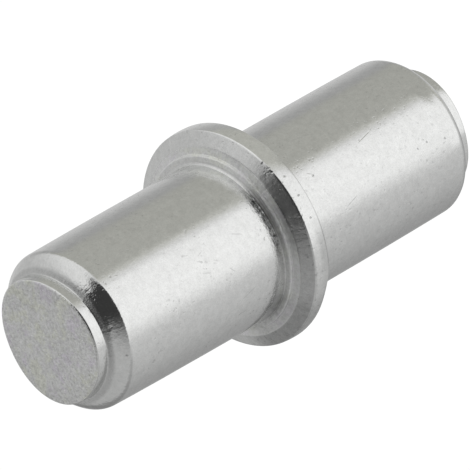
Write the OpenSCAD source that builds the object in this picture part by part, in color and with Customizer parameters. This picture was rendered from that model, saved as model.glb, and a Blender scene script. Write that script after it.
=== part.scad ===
// Shelf support pin: one solid steel pin, cold-headed in one piece. A round shank
// leaves each side of a collar: one plugs into a drilled cabinet side as far as the
// collar, and the shelf rests on the other. Each tip rounds down in a crowned
// shoulder to a short flat-faced nose.
// The pin stands on the nose of its panel side, at the origin, with its axis on Z.

/* [Shanks] */
// Diameter of both shanks
shank_d = 5; // [4:0.1:8]
// Length of the shelf side, from the collar's face to the tip
shelf_side = 7.175; // [4:0.025:14]
// Length of the panel side, from the collar's face to the tip
panel_side = 7.4; // [4:0.025:14]

/* [Collar] */
// Thickness of the collar
collar_t = 1; // [0.8:0.05:3]
// Width of the collar's ledge round the shanks
ledge = 0.9; // [0.6:0.05:3]
// How far the middle of the collar's crowned rim stands out past its edges
rim_bulge = 0.19; // [0.05:0.01:0.4]
// Radius of the fillet where each shank leaves the collar
root_r = 0.22; // [0.1:0.02:0.6]

/* [Tips] */
// Depth of the step from the shank's side in to the nose
nose_step = 0.54; // [0.3:0.02:1.2]
// Length of the nose, from the foot of the shoulder to the flat face
nose_len = 0.4; // [0.2:0.02:1]
// Radius of the nose's edge
nose_edge_r = 0.07; // [0.02:0.01:0.12]
// Radius of the crowned shoulder between shank and nose
crown_r = 0.9; // [0.6:0.05:1.9]
// Angle that the crown turns in from the shank's side at the shoulder's edge
edge_angle = 28; // [5:1:40]

/* [Hidden] */
$fn = 96;

shank_r = shank_d / 2;
collar_r = shank_r + ledge;
nose_r = shank_r - nose_step;
collar_z = panel_side + collar_t / 2; // the collar's middle plane

// The bulge and the fillet are kept within the ledge, with some flat face between them
bulge = min(rim_bulge, 0.45 * collar_t, 0.45 * ledge);
root = min(root_r, 0.45 * ledge);

// The rim is an arc through both its edges and its middle
rim_crown_r = ((collar_t / 2) ^ 2 + bulge ^ 2) / (2 * bulge);

// The crown is an arc, and its middle lies inside the shank at this radius
crown_mid_r = shank_r - crown_r * cos(edge_angle);
// How far the crown rises above its middle by the time that it meets the nose
crown_rise = nose_r > crown_mid_r ? sqrt(crown_r ^ 2 - (nose_r - crown_mid_r) ^ 2) : crown_r;

// The sliver between a square corner and the arc that rounds it. The walls leave
// the corner along side_x, which is 1 or -1 along X, and side_y, the same along Y.
module corner_sliver(corner, side_x, side_y, radius) {
    translate(corner)
        difference() {
            polygon([[0, 0], [side_x * radius, 0], [0, side_y * radius]]);
            translate([side_x * radius, side_y * radius]) circle(radius);
        }
}

// Half section of one side of the pin, with the radius along X: it runs from the
// collar's middle plane, at y = 0, to the tip
module side_section(length) {
    face = collar_t / 2;
    tip = face + length;
    crown_mid = tip - nose_len - crown_rise;

    // Collar with its crowned rim, and the fillet at the shank's root
    square([max(shank_r, collar_r - rim_crown_r), face]);
    intersection() {
        square([collar_r, face]);
        translate([collar_r - rim_crown_r, 0]) circle(rim_crown_r);
    }
    corner_sliver([shank_r, face], 1, 1, root);

    // Shank, and the crowned shoulder that caps it
    square([shank_r, crown_mid]);
    intersection() {
        square([shank_r, tip]);
        translate([crown_mid_r, crown_mid]) circle(crown_r);
    }

    // Nose with its softened edge
    difference() {
        square([nose_r, tip]);
        corner_sliver([nose_r, tip], -1, -1, nose_edge_r);
    }
}

// The whole pin, turned about its axis
module support_pin() {
    color("silver")
        translate([0, 0, collar_z])
            rotate_extrude() {
                side_section(shelf_side);
                mirror([0, 1]) side_section(panel_side);
            }
}

support_pin();
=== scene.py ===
import math
from functools import reduce

import bpy
from mathutils import Matrix, Vector


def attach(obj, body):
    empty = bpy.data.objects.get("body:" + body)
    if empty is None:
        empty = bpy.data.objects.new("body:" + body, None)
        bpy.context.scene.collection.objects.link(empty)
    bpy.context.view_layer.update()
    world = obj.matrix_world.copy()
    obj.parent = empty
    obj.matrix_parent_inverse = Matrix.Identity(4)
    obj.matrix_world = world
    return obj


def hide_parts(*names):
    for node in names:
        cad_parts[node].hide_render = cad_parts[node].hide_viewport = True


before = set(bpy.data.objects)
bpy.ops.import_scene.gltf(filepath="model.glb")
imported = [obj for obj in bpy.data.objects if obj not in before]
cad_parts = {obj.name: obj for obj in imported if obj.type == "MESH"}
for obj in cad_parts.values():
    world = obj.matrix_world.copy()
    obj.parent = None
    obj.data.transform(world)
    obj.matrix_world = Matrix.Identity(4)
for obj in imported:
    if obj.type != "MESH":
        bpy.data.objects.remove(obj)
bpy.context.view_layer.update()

MM = 0.001
WHITE = (1.0, 1.0, 1.0, 1.0)

# Sizes of the pin, in metres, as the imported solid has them
SHANK_RADIUS = 2.5 * MM
SHELF_SIDE = 7.175 * MM
PANEL_SIDE = 7.4 * MM
COLLAR_THICKNESS = 1.0 * MM
LEDGE = 0.9 * MM
NOSE_STEP = 0.54 * MM
NOSE_LENGTH = 0.4 * MM
NOSE_EDGE_RADIUS = 0.07 * MM
CROWN_RADIUS = 0.9 * MM
EDGE_ANGLE = math.radians(28)

# The collar stands a little out of square: how far it rises for its reach along Y
COLLAR_TILT = 0.032

COLLAR_HEIGHT = PANEL_SIDE + COLLAR_THICKNESS / 2


# ---------------------------------------------------------------- node writing

class Value:
    """A socket that takes part in sums: each operation adds its Math node."""

    def __init__(self, tree, socket):
        self.tree, self.socket = tree, socket

    def math(self, operation, *others, first=None):
        terms = [self if first is None else first, *others]
        made = self.tree.node("ShaderNodeMath", {"operation": operation}, dict(enumerate(terms)))
        return made.value()

    def __add__(self, other):
        return self.math("ADD", other)

    def __radd__(self, other):
        return self.math("ADD", other)

    def __sub__(self, other):
        return self.math("SUBTRACT", other)

    def __rsub__(self, other):
        return self.math("SUBTRACT", self, first=other)

    def __mul__(self, other):
        return self.math("MULTIPLY", other)

    def __rmul__(self, other):
        return self.math("MULTIPLY", other)

    def __truediv__(self, other):
        return self.math("DIVIDE", other)

    def __rtruediv__(self, other):
        return self.math("DIVIDE", self, first=other)

    def __neg__(self):
        return self.math("MULTIPLY", -1.0)

    def __abs__(self):
        return self.math("ABSOLUTE")

    def __pow__(self, other):
        return self.math("POWER", other)


class Made:
    """A node that the tree has just made, with its outputs at hand."""

    def __init__(self, tree, node):
        self.tree, self.node = tree, node

    def value(self, key=0):
        return Value(self.tree, self.node.outputs[key])


class Tree:
    """Writes nodes into one node tree."""

    def __init__(self, tree):
        self.tree = tree

    def node(self, kind, settings=None, inputs=None):
        node = self.tree.nodes.new(kind)
        for name, setting in (settings or {}).items():
            if name == "stops":
                write_stops(node.color_ramp, setting)
            else:
                setattr(node, name, setting)
        for key, given in (inputs or {}).items():
            if isinstance(given, Value):
                self.tree.links.new(given.socket, node.inputs[key])
            else:
                node.inputs[key].default_value = given
        return Made(self, node)

    def step(self, value, start, end, to=(0.0, 1.0)):
        """Eases from 0 at start to 1 at end, whichever of the two is the larger."""
        return self.node("ShaderNodeMapRange", {"interpolation_type": "SMOOTHSTEP"},
                         {0: value, 1: start, 2: end, 3: to[0], 4: to[1]}).value()

    def blend(self, factor, a, b):
        """Mixes two values."""
        return self.node("ShaderNodeMix", {"data_type": "FLOAT"}, {0: factor, 2: a, 3: b}).value()

    def tint(self, factor, a, b):
        """Mixes two colours."""
        return self.node("ShaderNodeMix", {"data_type": "RGBA"}, {0: factor, 6: a, 7: b}).value(2)

    def moved(self, vector, by):
        """Moves a place by the same length along each axis."""
        return self.node("ShaderNodeVectorMath", {"operation": "ADD"},
                         {0: vector, 1: (by, by, by)}).value()

    def scaled(self, vector, factor):
        """Scales a place or a colour."""
        return self.node("ShaderNodeVectorMath", {"operation": "SCALE"},
                         {0: vector, "Scale": factor}).value()


def write_stops(ramp, stops):
    """Puts stops, each a place and a grey level, on a colour ramp."""
    while len(ramp.elements) < len(stops):
        ramp.elements.new(0.5)
    for element, (place, grey) in zip(ramp.elements, stops):
        element.position = place
        element.color = (grey, grey, grey, 1.0)


def empty_tree(owner):
    """A material's or a world's own node tree, with nothing in it yet."""
    owner.use_nodes = True
    owner.node_tree.nodes.clear()
    return Tree(owner.node_tree)


# ---------------------------------------------------------------- zinc plating

# Scratches in the plating. Each end has its angle round the pin in degrees and its
# height from the collar's middle in mm, and then comes the scratch's width in mm.
SCRATCHES = [
    ((-87.0, 2.10), (-92.5, 1.62), 0.035),
    ((-52.0, -1.90), (-55.0, -2.65), 0.030),
    ((-106.8, 2.61), (-111.7, 2.42), 0.032),
    ((-92.0, 3.60), (-95.0, 3.35), 0.024),
    ((-88.0, 3.20), (-90.0, 3.48), 0.022),
    ((-97.0, 3.02), (-99.5, 2.85), 0.024),
    ((-84.0, 3.95), (-86.5, 3.70), 0.022),
    ((-78.0, -1.45), (-80.5, -1.62), 0.030),
    ((-104.0, 3.25), (-101.0, 3.60), 0.030),
    ((-128.0, 1.70), (-133.0, 2.40), 0.028),
    ((-78.0, -3.60), (-74.5, -4.30), 0.026),
    ((-112.0, -2.20), (-108.0, -2.75), 0.028),
    ((-60.0, 5.55), (-63.0, 5.15), 0.026),
    ((35.0, 2.60), (41.0, 3.50), 0.030),
    ((80.0, -2.40), (77.0, -3.60), 0.030),
    ((128.0, 3.60), (133.0, 4.40), 0.028),
    ((160.0, -4.20), (154.0, -4.90), 0.028),
]

# Chips in the plating, most of them on the collar's rim: angle round the pin in degrees,
# height from the collar's middle in mm, and size in mm
CHIPS = [
    (-65.8, 0.19, 0.040), (-69.7, 0.155, 0.045), (-72.3, 0.17, 0.040), (-88.7, -0.09, 0.035),
    (-77.2, -0.06, 0.045), (-101.0, -0.11, 0.040), (-81.8, -1.61, 0.050), (-126.2, 6.96, 0.045),
    (-100.5, -5.83, 0.040), (-104.6, -6.52, 0.045), (-101.5, -5.43, 0.035), (-58.0, 3.10, 0.035),
]
CHIP_RAGGED = 0.11  # how far the hammered pattern shifts a chip's outline, in mm
CHIP_SPREAD = 1.2   # a chip's fading border, over its size

# Borders between parts of the finish: where a part fades out, and where it is whole.
# The distances and heights are in mm.
BORDERS = {
    # Distance from the tip
    "tip face": (0.045, 0.015), "crown's foot": (0.95, 0.80), "crown's top": (0.32, 0.42),
    # Distance from the throat between crown and nose
    "throat": (0.07, 0.01),
    # Distance from the axis
    "shank": (2.56, 2.53), "collar": (2.55, 2.60), "seat": (2.99, 2.90),
    "ledge from": (2.76, 2.84), "ledge to": (3.04, 2.96),
    "slope from": (2.94, 3.0), "slope to": (3.38, 3.34), "rim": (3.0, 3.2),
    "rim's edge": (3.28, 3.34), "land": (3.36, 3.385), "tip face's middle": (1.1, 2.0),
    # Distance past the collar's face
    "root": (0.33, 0.27), "painted root shade": (0.05, 0.12), "painted shade by the collar": (0.70, 0.45), "grit": (0.14, 0.08),
    # Height from the collar's middle
    "shelf side": (-0.1, 0.1), "flattened end": (-6.45, -7.10), "panel crown shade": (-7.0, -7.1),
    "rim's far half": (0.12, -0.10), "rim's far corner": (-0.20, -0.27),
    # The share of a direction that points along +X (east) or +Y (north)
    "collar shade east": (-0.78, -0.92), "collar shade north": (0.45, 0.10),
    "side shade east": (-0.12, -0.37), "side shade north": (0.6, 0.2),
    "bright east": (0.28, 0.45), "bright north": (0.3, 0),
    # Cosine of the angle from the flat on the panel side's end
    "towards the flat": (0.75, 1.0),
    # Levels of a cloudy pattern
    "clusters": (-0.15, 0.15), "nick": (0.12, 0.26), "dirt": (-0.05, 0.16), "speck": (0.17, 0.24),
    "lilac": (0.02, 0.14), "olive": (-0.02, -0.14),
}

# The same borders round the pin, in degrees
TURNS = {
    "root shade from": (-128, -108), "root shade to": (-65, -76),
    "crown from": (-122, -108), "crown to": (-70, -82),
    "ledge from": (-122, -108), "ledge to": (-82, -97),
    "rim from": (-138, -122), "rim's half to": (-100, -112), "rim's corner to": (-60, -76),
}
FLAT_TURN = math.radians(-74)  # where the panel side's end looks worn flat

THROAT_PLACE = 0.44  # mm from the tip

# How deep each mark lies in the plating, in mm
DEPTHS = {"pits": 0.008, "nicks": 0.0036, "scratches": 0.003, "specks": 0.006, "chips": 0.008,
          "flat": 0.09}

# How much rougher than the plain plating each part and mark is
ROUGHER = {"slope": 0.06, "tip face": 0.25, "crown": -0.05, "grit": 0.25, "throat": 0.15,
           "scratches": 0.12, "specks": 0.2}
PLATING_ROUGHNESS = 0.145
LEAST_ROUGHNESS = 0.06

# How much darker each part and mark is, and a negative share is lighter. The throat's, the ledge's
# and the panel crown's darkening is painted shade.
DARKER = {"pits": 0.20, "nicks": 0.16, "throat": 0.20, "specks": 0.45, "scratches": 0.14,
          "seat": -0.16, "painted root shade": 0.40, "painted side shade": 0.32, "painted shade by the collar": 0.34,
          "painted light on the land": -0.14, "chips": 0.36, "panel crown shade": 0.20, "painted shade on the rim's far edge": 0.16,
          "ledge": 0.30}

# The plating's colour is a plain grey that drifts to these where it is matt
ZINC_GREY = (0.780, 0.785, 0.775, 1.0)
ZINC_LILAC = (0.775, 0.745, 0.800, 1.0)
ZINC_OLIVE = (0.790, 0.800, 0.730, 1.0)


def zinc_plate():
    """Bright zinc over cold-headed steel: mottled, pitted and scratched, with matt end faces."""
    material = bpy.data.materials.new("zinc_plate")
    t = empty_tree(material)

    # Where a point lies on the pin, in mm
    spot = t.scaled(t.node("ShaderNodeTexCoord").value("Object"), 1 / MM)
    parts = t.node("ShaderNodeSeparateXYZ", None, {0: spot})
    x, y, z = parts.value(0), parts.value(1), parts.value(2)
    radius = (x * x + y * y).math("SQRT")
    along = z - COLLAR_HEIGHT / MM
    out = abs(along)
    half_collar = COLLAR_THICKNESS / 2 / MM
    past_face = out - half_collar
    east, north = x / radius, y / radius
    turn = y.math("ARCTAN2", x)

    def part(value, border):
        """1 on one side of a border and 0 on the other."""
        return t.step(value, *BORDERS[border])

    def facing(border):
        """1 on one side of a border round the pin and 0 on the other."""
        return t.step(turn, *(math.radians(angle) for angle in TURNS[border]))

    def overlaid(spots):
        """Spots of one kind as one mark, with no more than the strongest where they meet."""
        return reduce(lambda whole, one: whole.math("MAXIMUM", one), spots)

    def weighed(weights):
        """The sum of the marks, each by its own weight."""
        return reduce(lambda whole, one: whole + one,
                      [marks[name] * weight for name, weight in weights.items()])

    # The parts of the pin
    side_length = t.blend(part(along, "shelf side"), PANEL_SIDE / MM, SHELF_SIDE / MM)
    from_tip = side_length + half_collar - out
    tip_face = part(from_tip, "tip face")
    crown = part(from_tip, "crown's foot") * part(from_tip, "crown's top")
    # The throat is darkened with painted shade, in the crease between crown and nose
    throat = part(abs(from_tip - THROAT_PLACE), "throat")
    on_collar = part(radius, "collar")
    seat = part(radius, "seat") * on_collar
    slope = part(radius, "slope from") * part(radius, "slope to")
    root = (1.0 - on_collar) * part(past_face, "root")

    # Painted shade in the roots, weaker on one side
    root_painted_shade = root * (facing("root shade from") * 0.75 + 0.25)
    root_painted_shade = root_painted_shade * part(past_face, "painted root shade") * facing("root shade to")

    # Painted shade next to the collar on one side, grit in the corner, and painted shade on one
    # side of the collar's face and on part of its ledge
    collar_painted_shade = (1.0 - on_collar * 0.5) * part(past_face, "painted shade by the collar")
    collar_painted_shade = collar_painted_shade * part(east, "collar shade east") * part(north, "collar shade north")
    grit = (1.0 - on_collar) * part(past_face, "grit")
    side_painted_shade = (slope + seat * 0.3) * part(east, "side shade east") * part(north, "side shade north")
    ledge = (part(radius, "ledge from") * part(radius, "ledge to")
             * facing("ledge from") * facing("ledge to"))

    # The rim: a painted highlight on one side of its land, and painted shade towards the panel side
    # on another
    land = part(radius, "land") * part(east, "bright east") * part(north, "bright north")
    across_rim = along - y * COLLAR_TILT
    far_edge_painted_shade = part(radius, "rim's edge") * facing("rim from") * (
        facing("rim's half to") * part(across_rim, "rim's far half")
        + facing("rim's corner to") * part(across_rim, "rim's far corner"))

    # The panel side's end: worn a little flat on one side, with painted shade on its crown
    flattened = (part((turn - FLAT_TURN).math("COSINE"), "towards the flat")
                 * part(along, "flattened end"))
    panel_crown_painted_shade = (crown * part(along, "panel crown shade")
                  * facing("crown from") * facing("crown to"))

    def noise(vector, scale, detail=2.0, rough=0.5, move=0.0):
        """Cloudy values round 0, from about -0.5 to 0.5."""
        cloud = t.node("ShaderNodeTexNoise", {"noise_dimensions": "3D"}, {
            "Vector": t.moved(vector, move) if move else vector,
            "Scale": scale, "Detail": detail, "Roughness": rough})
        return cloud.value(0) - 0.5

    def wrapped(around, lengthways):
        """A place for streaks that run out from the axis or along it."""
        return t.node("ShaderNodeCombineXYZ", None, {
            0: east * around, 1: north * around, 2: (along + radius) * lengthways}).value()

    def pits(scale, share, size, move):
        """Round hollows of the given size, in mm, in a share of the cells."""
        cells = t.node("ShaderNodeTexVoronoi", {"feature": "F1"}, {
            "Vector": t.moved(spot, move), "Scale": scale})
        chance = t.node("ShaderNodeSeparateColor", None, {0: cells.value("Color")})
        chosen = chance.value(0).math("LESS_THAN", share)
        spread = chance.value(1) * 0.6 + 0.6
        return t.step(cells.value("Distance"), spread * (size * scale), 0.0) * chosen

    def scratch(turn_a, along_a, turn_b, along_b, width):
        """A thin line with fading ends."""
        arc_a, arc_b = (math.radians(at) * SHANK_RADIUS / MM for at in (turn_a, turn_b))
        length = math.hypot(arc_b - arc_a, along_b - along_a)
        step_arc, step_along = (arc_b - arc_a) / length, (along_b - along_a) / length
        arc = turn * (SHANK_RADIUS / MM) - arc_a
        lift = along - along_a
        beyond = abs(arc * step_arc + lift * step_along - length / 2)
        beside = abs(arc * step_along - lift * step_arc)
        return t.step(beside, width, 0.0) * t.step(beyond, length / 2, length / 4)

    def chip(around, up, across):
        """A ragged spot."""
        beside, above = (turn - math.radians(around)) * radius, along - up
        away = (beside * beside + above * above).math("SQRT") + hammered * CHIP_RAGGED
        return t.step(away, across * CHIP_SPREAD, 0.0)

    # The patterns of the plating, and of the headed metal under it
    mottle = noise(spot, 5.5, detail=3.0, rough=0.6)
    grain = noise(spot, 21.0, rough=0.55, move=31.0)
    drift = noise(spot, 0.8, move=77.0)
    streaks = noise(wrapped(22.0, 1.6), 1.0, rough=0.6)
    hammered = noise(spot, 11.0, detail=3.0, rough=0.65, move=13.0)
    patch = noise(spot, 1.7, detail=3.0, rough=0.7, move=19.0)

    # Nicks come in clusters, and dark specks lie thickest on one side of the collar's rim
    clusters = part(noise(spot, 0.7, detail=1.0, move=63.0), "clusters") * 0.8 + 0.2
    dirty = part(noise(spot, 0.9, detail=1.0, move=3.0), "dirt")
    speck_cloud = noise(spot, 9.0, rough=0.7, move=51.0)

    marks = {
        "pits": pits(1.15, share=0.22, size=0.04, move=5.0),
        "nicks": part(noise(spot, 9.0, detail=1.0, move=41.0), "nick") * clusters,
        "scratches": (overlaid(scratch(*a, *b, width) for a, b, width in SCRATCHES)
                      * part(radius, "shank")),
        "chips": overlaid(chip(*one) for one in CHIPS),
        "specks": (part(speck_cloud, "speck")
                   * (part(radius, "rim") * 0.9 + seat * 0.5 + 0.12) * dirty),
        "flat": flattened, "slope": slope, "tip face": tip_face, "crown": crown, "grit": grit,
        "throat": throat, "seat": seat, "painted root shade": root_painted_shade, "painted side shade": side_painted_shade, "painted shade by the collar": collar_painted_shade,
        "painted light on the land": land, "panel crown shade": panel_crown_painted_shade, "painted shade on the rim's far edge": far_edge_painted_shade,
        "ledge": ledge,
    }

    height = (mottle * (0.0030 + crown * 0.004) + grain * 0.0010
              + streaks * (crown * 0.005 + seat * 0.012 + slope * 0.003)
              + hammered * (tip_face * 0.040 + seat * 0.010 + root * 0.006 + crown * 0.006)
              - weighed(DEPTHS))
    bump = t.node("ShaderNodeBump", None, {"Height": height, "Strength": 1.0, "Distance": MM})

    rough = (PLATING_ROUGHNESS + mottle * 0.10 + drift * 0.05 + seat * (0.36 + streaks * 0.25)
             + weighed(ROUGHER)).math("MAXIMUM", LEAST_ROUGHNESS)

    # The tip's face is lighter than the rest, and least so at its rim
    face_shade = 0.11 + drift * 0.25 - part(radius, "tip face's middle") * 0.06
    shade = (1.0 + mottle * 0.26 + grain * 0.24 + streaks * slope * 0.10 + tip_face * face_shade
             + hammered * (tip_face * 0.9 + seat * 0.4 + root_painted_shade * 2.4)
             - weighed(DARKER))

    # The colour drifts between lilac and yellow-green where the plating is matt
    matt = tip_face * 0.9 + seat * 0.4
    colour = t.tint(part(patch, "lilac") * matt, ZINC_GREY, ZINC_LILAC)
    colour = t.tint(part(patch, "olive") * matt, colour, ZINC_OLIVE)

    surface = t.node("ShaderNodeBsdfPrincipled", None, {
        "Base Color": t.scaled(colour, shade), "Metallic": 1.0, "Roughness": rough,
        "Normal": bump.value()})
    t.node("ShaderNodeOutputMaterial", None, {"Surface": surface.value()})
    return material


# ---------------------------------------------------------------- the pin

# Rows of faces on each element of the half section, from the collar's middle to the tip
ROWS = {"land": 6, "corner": 8, "slope": 5, "brow": 5, "ledge": 3, "step foot": 3,
        "step wall": 3, "step": 6, "seat": 3, "root": 9, "shank": 32, "break": 8, "crown": 14,
        "throat": 4, "wall": 4, "edge": 6, "face": 8}
STEPS_ROUND = 384
EDGE_ROWS = 8     # rows of the shank that follow the wandering edge of the shoulder
SQUARE_ROWS = 6   # rows past the root over which the collar's tilt dies away
SEAM_GAP = 0.0001 * MM

# Where the rim is pressed in: the cosine of the angle from the middle of the place, the
# distance from the axis, and the height from the collar's middle. Each goes from where the
# press starts to where it is full.
PRESSED_ROUND = (0.85, 1.0)
PRESSED_RADIUS = (2.7 * MM, 3.3 * MM)
PRESSED_HEIGHT = (0.03 * MM, 0.25 * MM)

# What the tree that turns the pin is given
PIN_SIZES = {
    "Shank Radius": SHANK_RADIUS,
    "Shelf Side": SHELF_SIDE,
    "Panel Side": PANEL_SIDE,
    "Root Radius": 0.05 * MM,
    # Collar, from the rim in
    "Collar Thickness": COLLAR_THICKNESS,
    "Ledge": LEDGE,
    "Land Radius": 2.0 * MM,
    "Land Width": 0.50 * MM,
    "Rim Corner": 0.06 * MM,
    "Face Slope": math.radians(26),
    "Brow Place": 3.00 * MM,
    "Brow Radius": 0.15 * MM,
    "Ledge Slope": math.radians(12),
    "Step Place": 2.75 * MM,
    "Step Foot": 0.015 * MM,
    "Step Height": 0.045 * MM,
    "Step Radius": 0.045 * MM,
    "Collar Tilt": COLLAR_TILT,
    "Pressed Depth": 0.12 * MM,
    "Pressed Turn": math.radians(-160),
    # Crown and nose
    "Edge Angle": EDGE_ANGLE,
    "Edge Break": 0.30 * MM,
    "Crown Radius": CROWN_RADIUS,
    "Throat Radius": 0.035 * MM,
    "Nose Step": NOSE_STEP,
    "Nose Length": NOSE_LENGTH,
    "Nose Edge Radius": NOSE_EDGE_RADIUS,
    # How the real pin strays from the true form
    "Taper": 0.049 * MM,
    "Waviness": 0.0035 * MM,
    "Edge Wander": 0.04 * MM,
    "Lean": -0.05 * MM,
    "Oval": 0.0087,
    "Oval Turn": math.radians(-5),
    "Lobes": 0.024,
    "Shelf Lobe Turn": math.radians(-104),
    "Panel Lobe Turn": math.radians(-58),
    "Shelf Nose Draw": -0.011,
    "Panel Nose Draw": 0.022,
    "Panel Nose Shift": -0.03 * MM,
    "Seed": 4.0,
}


def pin_tree(metal):
    """Geometry Nodes that turn the pin from the half section's lines and arcs."""
    group = bpy.data.node_groups.new("turned_pin", "GeometryNodeTree")
    t = Tree(group)
    face = group.interface
    face.new_socket("Geometry", in_out="OUTPUT", socket_type="NodeSocketGeometry")
    for name in PIN_SIZES:
        face.new_socket(name, in_out="INPUT", socket_type="NodeSocketFloat")
    given = t.node("NodeGroupInput")
    size = {name: given.value(name) for name in PIN_SIZES}

    # A grid whose columns go round the pin and whose rows go from tip to tip. A little is
    # added before the rounding down, so that a whole number stays itself.
    half = sum(ROWS.values())
    columns, rows = STEPS_ROUND + 1, 2 * half + 1
    grid = t.node("GeometryNodeMeshGrid", None, {"Vertices X": columns, "Vertices Y": rows})
    index = t.node("GeometryNodeInputIndex").value()
    column = (index / float(rows) + 0.0001).math("FLOOR")
    row = index - column * float(rows)
    angle = column * (2 * math.pi / STEPS_ROUND)
    from_middle = row - float(half)
    side = from_middle.math("SIGN")
    shelf = side * 0.5 + 0.5
    count = abs(from_middle)

    def round_noise(lengthways, scale, move):
        """Cloudy values from about -1 to 1 that close on themselves round the pin."""
        cloud = t.node("ShaderNodeTexNoise", {"noise_dimensions": "4D"}, {
            "Vector": t.node("ShaderNodeCombineXYZ", None, {
                0: angle.math("COSINE"), 1: angle.math("SINE"), 2: lengthways}).value(),
            "W": size["Seed"] + move, "Scale": scale, "Detail": 1.0})
        return (cloud.value(0) - 0.5) * 2.0

    shank, root, corner = size["Shank Radius"], size["Root Radius"], size["Rim Corner"]
    nose_edge, crown, throat = size["Nose Edge Radius"], size["Crown Radius"], size["Throat Radius"]
    edge_break, brow, slope = size["Edge Break"], size["Brow Radius"], size["Face Slope"]
    half_collar = size["Collar Thickness"] * 0.5
    tip = half_collar + t.blend(shelf, size["Panel Side"], size["Shelf Side"])

    # The rim is a slightly crowned land, and a tight corner turns it into the sloping face
    land = size["Land Radius"]
    land_leaves = (size["Land Width"] * 0.5 / land).math("ARCSINE")

    # The crown leaves the shank at a broken edge, and runs down into the throat at the nose
    nose = shank - size["Nose Step"]
    crown_middle = shank - crown * size["Edge Angle"].math("COSINE")
    low = (nose - crown_middle) / crown
    crown_height = tip - size["Nose Length"] - crown * (1.0 - low * low).math("SQRT")
    crown_leaves = ((nose + throat - crown_middle) / (crown + throat)).math("ARCCOSINE")
    break_leaves = ((shank - edge_break - crown_middle) / (crown - edge_break)).math("ARCCOSINE")
    break_height = crown_height + (crown - edge_break) * break_leaves.math("SINE")

    # The walk starts at the middle of the collar's rim and goes to the tip
    up, inward = math.pi / 2, math.pi
    sloping, easing = inward - slope, inward - size["Ledge Slope"]
    at = {"r": shank + size["Ledge"], "z": 0.0, "row": 0}

    def passed(element):
        """Goes from 0 to 1 over the element's own rows."""
        start = at["row"]
        at["row"] += ROWS[element]
        return t.node("ShaderNodeMapRange", {"clamp": True},
                      {0: count, 1: float(start), 2: float(at["row"])}).value()

    def run(element, to_radius=None, to_height=None, rising=None):
        """A straight element: up to a height, or in to a radius, level or rising on the way.
        Its rows gather at its ends, so that the shading there is crisp."""
        gone = 0.5 - (passed(element) * math.pi).math("COSINE") * 0.5
        if to_height is not None:
            at["z"] = at["z"] + (to_height - at["z"]) * gone
            return
        inwards = (at["r"] - to_radius) * gone
        at["r"] = at["r"] - inwards
        if rising is not None:
            at["z"] = at["z"] + inwards * rising.math("TANGENT")

    def bend(element, radius, start, end, left=True):
        """An arc, from one heading to another, turning left or right."""
        heading = start + passed(element) * (end - start)
        sense = 1.0 if left else -1.0
        start_sine = start.math("SINE") if isinstance(start, Value) else math.sin(start)
        start_cosine = start.math("COSINE") if isinstance(start, Value) else math.cos(start)
        at["r"] = at["r"] + radius * (heading.math("SINE") - start_sine) * sense
        at["z"] = at["z"] + radius * (start_cosine - heading.math("COSINE")) * sense

    bend("land", land, up, up + land_leaves)
    bend("corner", corner, up + land_leaves, sloping)
    run("slope", to_radius=size["Brow Place"], rising=slope)
    bend("brow", brow, sloping, easing)
    run("ledge", to_radius=size["Step Place"], rising=size["Ledge Slope"])
    bend("step foot", size["Step Foot"], easing, up, left=False)
    run("step wall", to_height=at["z"] + size["Step Height"])
    bend("step", size["Step Radius"], up, inward)
    run("seat", to_radius=shank + root)
    root_from = at["row"]
    bend("root", root, inward, up, left=False)
    root_to = at["row"]
    run("shank", to_height=break_height)
    shank_to = at["row"]
    bend("break", edge_break, up, break_leaves + up)
    nose_from = at["row"]
    bend("crown", crown, break_leaves + up, crown_leaves + up)
    bend("throat", throat, crown_leaves + up, up, left=False)
    nose_to = at["row"]
    run("wall", to_height=tip - nose_edge)
    bend("edge", nose_edge, up, inward)
    to_centre = 1.0 - (passed("face") * (math.pi / 2)).math("SINE")
    radius, height = at["r"] * to_centre, at["z"]

    # The shoulder's edge wanders a little along the shank
    near_edge = (t.step(count, float(shank_to - EDGE_ROWS), float(shank_to))
                 * t.step(count, float(nose_to), float(nose_from)))
    height = height + near_edge * round_noise(side, scale=1.3, move=2.0) * size["Edge Wander"]

    # The shank tapers a very little to the tip, and its side is not quite straight
    part_way = height / tip
    worn = size["Taper"] * part_way ** 4.0
    wavy = round_noise(height * (side * 0.35 / MM), scale=1.6, move=0.0) * size["Waviness"]
    radius = radius - (worn - wavy) * to_centre

    # The nose is lobed and drawn in, as it leaves the heading die
    on_nose = t.step(count, float(nose_from), float(nose_to))
    draw = t.blend(shelf, size["Panel Nose Draw"], size["Shelf Nose Draw"])
    lobe_turn = t.blend(shelf, size["Panel Lobe Turn"], size["Shelf Lobe Turn"])
    swell = (((angle - size["Oval Turn"]) * 2.0).math("COSINE") * size["Oval"]
             + ((angle - lobe_turn) * 3.0).math("COSINE") * size["Lobes"] - draw)
    radius = radius * (1.0 + on_nose * swell)

    # The shelf side leans a very little, and the panel side's nose is off its middle
    lean = (shelf * size["Lean"] * t.step(count, float(root_from), float(root_to))
            * (1.0 - part_way) + (1.0 - shelf) * size["Panel Nose Shift"] * on_nose)

    # The collar stands a little out of square, and on the panel side its rim is pressed in
    # at one place
    askew = (radius * angle.math("SINE") * size["Collar Tilt"]
             * t.step(count, float(root_to + SQUARE_ROWS), float(root_from)))
    pressed = ((1.0 - shelf)
               * t.step((angle - size["Pressed Turn"]).math("COSINE"), *PRESSED_ROUND)
               * t.step(radius, *PRESSED_RADIUS) * t.step(height, *PRESSED_HEIGHT))
    askew = askew + pressed * size["Pressed Depth"]

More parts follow.
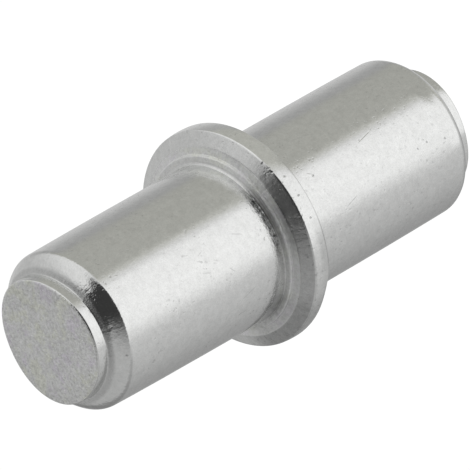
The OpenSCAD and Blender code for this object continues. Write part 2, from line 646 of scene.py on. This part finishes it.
    place = t.node("ShaderNodeCombineXYZ", None, {
        0: radius * angle.math("COSINE") + lean, 1: radius * angle.math("SINE"),
        2: size["Panel Side"] + half_collar + side * height + askew})
    formed = t.node("GeometryNodeSetPosition", None, {
        "Geometry": grid.value(), "Position": place.value()})
    for kind, inputs in [("GeometryNodeMergeByDistance", {"Distance": SEAM_GAP}),
                         ("GeometryNodeSetShadeSmooth", {}),
                         ("GeometryNodeRealizeInstances", {}),
                         ("GeometryNodeSetMaterial", {"Material": metal})]:
        formed = t.node(kind, None, {"Geometry": formed.value(), **inputs})
    t.node("NodeGroupOutput", None, {"Geometry": formed.value()})
    return group


def grown(name, group, sizes):
    """Runs a Geometry Nodes tree and keeps its result as a plain mesh object."""
    carrier = bpy.data.objects.new(name + "_start", bpy.data.meshes.new(name + "_start"))
    bpy.context.scene.collection.objects.link(carrier)
    modifier = carrier.modifiers.new("form", "NODES")
    modifier.node_group = group
    for item in group.interface.items_tree:
        if item.in_out == "INPUT" and item.name in sizes:
            modifier[item.identifier] = sizes[item.name]
    graph = bpy.context.evaluated_depsgraph_get()
    mesh = bpy.data.meshes.new_from_object(carrier.evaluated_get(graph), depsgraph=graph)
    mesh.name = name
    bpy.data.objects.remove(carrier)
    piece = bpy.data.objects.new(name, mesh)
    bpy.context.scene.collection.objects.link(piece)
    return piece


pin = grown("plated_pin", pin_tree(zinc_plate()), PIN_SIZES)
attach(pin, "root")
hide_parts("support_pin")


# ---------------------------------------------------------------- studio

# The studio's light by compass heading, in degrees: pale walls above the horizon and the
# table below it, and then the horizon's own height in degrees
WALLS = [(-180, 0.50), (-150, 0.46), (-100, 0.49), (-75, 0.50), (-50, 0.42), (-20, 0.34),
         (30, 0.60), (60, 0.85), (95, 0.78), (130, 0.57), (160, 0.55), (180, 0.50)]
TABLE = [(-180, 0.45), (-160, 0.32), (-132, 0.37), (-84, 0.55), (-56, 0.65), (-34, 1.00),
         (-10, 1.05), (24, 0.99), (44, 0.445), (100, 0.43), (114, 0.385), (126, 0.41),
         (140, 0.53), (155, 0.60), (180, 0.62)]
HORIZON = [(-180, 0), (-90, 6), (-66, -6), (-43, -10), (0, -17), (55, -17), (104, -7),
           (119, -5), (180, -2)]
TABLE_UNDERNEATH = 0.72
GAP_LIGHT = 0.045
TABLE_HUE = (1.0, 1.0, 0.93, 1.0)

FLOOR_GREY = (0.16, 0.16, 0.16, 1.0)
FLOOR_GLOW = 0.97
FLOOR_HALF = 0.5

CAMERA_LENS = 957.0
CAMERA_DISTANCE = 0.360
CAMERA_RIGHT = Vector((-0.5011, -0.5212, -0.6908))
CAMERA_BACK = Vector((0.0, -0.7983, 0.6023))
PIN_MIDDLE = Vector((0.0, 0.0, 7.925 * MM))


def studio():
    """Soft studio round the pin: pale walls and table, with a dark gap behind the camera."""
    world = bpy.data.worlds.new("studio")
    t = empty_tree(world)
    heading = t.node("ShaderNodeTexCoord").value("Generated")
    parts = t.node("ShaderNodeSeparateXYZ", None, {0: heading})
    x, y, z = parts.value(0), parts.value(1), parts.value(2)
    turn = x.math("ARCTAN2", -y) * (180 / math.pi)
    rise = z.math("MINIMUM", 1.0).math("MAXIMUM", -1.0).math("ARCSINE") * (180 / math.pi)
    round_ramp = turn / 360.0 + 0.5

    def ring(stops):
        """A level that follows the compass heading through its stops."""
        placed = [((compass + 180) / 360, level) for compass, level in stops]
        ramp = t.node("ShaderNodeValToRGB", {"stops": placed}, {0: round_ramp})
        return t.node("ShaderNodeRGBToBW", None, {0: ramp.value()}).value()

    # A ramp holds 0 to 1, so the horizon's heights from -90 to 90 degrees go in as shares
    horizon = ring([(compass, (lift + 90) / 180) for compass, lift in HORIZON]) * 180.0 - 90.0
    above = rise - horizon

    # The walls dim towards the ceiling, and most behind the pin
    walls = ring(WALLS) * t.step(rise, 56.0, 88.0, to=(1.0, 0.45))
    walls = walls * (1.0 - t.step(abs(turn), 110.0, 160.0) * t.step(rise, 42.0, 82.0) * 0.85)

    # The table is even right under the pin, and dims towards its far edge on one side
    table = t.blend(t.step(rise, -62.0, -85.0), ring(TABLE), TABLE_UNDERNEATH)
    table = table * (1.0 - t.step(rise, -30.0, -14.0) * t.step(turn, -50.0, -75.0) * 0.28)
    pale = t.blend(t.step(above, 4.0, -4.0), walls, table)

    # The dark gap widens to both sides as it rises
    gap_right = (t.step(rise, -17.0, 20.0, to=(29.0, 42.0))
                 + t.step(rise, 54.0, 84.0, to=(0.0, 72.0)))
    gap_left = t.step(rise, 60.0, 83.0, to=(-31.0, -100.0))
    gap = (t.step(above, -1.5, 1.5) * t.step(turn - gap_left, -19.0, 19.0)
           * t.step(turn - gap_right, 7.0, -7.0))
    light = t.blend(gap, pale, GAP_LIGHT)

    # One part of the table is a little yellow
    yellowed = (t.step(turn, 30.0, 42.0) * t.step(turn, 118.0, 104.0) * t.step(above, 4.0, -4.0))
    hue = t.tint(yellowed, WHITE, TABLE_HUE)

    glow = t.node("ShaderNodeBackground", None, {"Color": hue, "Strength": light})
    white = t.node("ShaderNodeBackground", None, {"Color": WHITE, "Strength": 1.0})
    seen = t.node("ShaderNodeLightPath").value("Is Camera Ray")
    chosen = t.node("ShaderNodeMixShader", None, {0: seen, 1: glow.value(), 2: white.value()})
    t.node("ShaderNodeOutputWorld", None, {"Surface": chosen.value()})
    bpy.context.scene.world = world


def pale_floor():
    """White floor at the pin's foot, which keeps the shadow. The metal doesn't reflect it,
    because the studio's table, which lies under it, already stands for it there."""
    material = bpy.data.materials.new("pale_floor")
    t = empty_tree(material)
    matt = t.node("ShaderNodeBsdfDiffuse", None, {"Color": FLOOR_GREY})
    glow = t.node("ShaderNodeEmission", None, {"Color": WHITE, "Strength": FLOOR_GLOW})
    lit = t.node("ShaderNodeAddShader", None, {0: matt.value(), 1: glow.value()})
    clear = t.node("ShaderNodeBsdfTransparent")
    below = t.node("ShaderNodeNewGeometry").value("Backfacing")
    unseen = t.node("ShaderNodeLightPath").value("Is Glossy Ray").math("MAXIMUM", below)
    chosen = t.node("ShaderNodeMixShader", None, {0: unseen, 1: lit.value(), 2: clear.value()})
    t.node("ShaderNodeOutputMaterial", None, {"Surface": chosen.value()})

    half = FLOOR_HALF
    mesh = bpy.data.meshes.new("floor")
    mesh.from_pydata([(-half, -half, 0), (half, -half, 0), (half, half, 0), (-half, half, 0)],
                     [], [(0, 1, 2, 3)])
    mesh.materials.append(material)
    floor = bpy.data.objects.new("floor", mesh)
    bpy.context.scene.collection.objects.link(floor)


def camera():
    """A long lens from 37 degrees above the floor, rolled so that the pin lies across the view."""
    data = bpy.data.cameras.new("camera")
    data.lens = CAMERA_LENS
    data.sensor_width = 36.0
    data.clip_start, data.clip_end = 0.01, 10.0
    eye = bpy.data.objects.new("camera", data)
    up = CAMERA_BACK.cross(CAMERA_RIGHT).normalized()
    right = up.cross(CAMERA_BACK).normalized()
    turned = Matrix((right, up, CAMERA_BACK)).transposed().to_4x4()
    eye.matrix_world = Matrix.Translation(PIN_MIDDLE + CAMERA_BACK * CAMERA_DISTANCE) @ turned
    bpy.context.scene.collection.objects.link(eye)
    bpy.context.scene.camera = eye


studio()
pale_floor()
camera()
bpy.context.scene.view_settings.view_transform = "Standard"
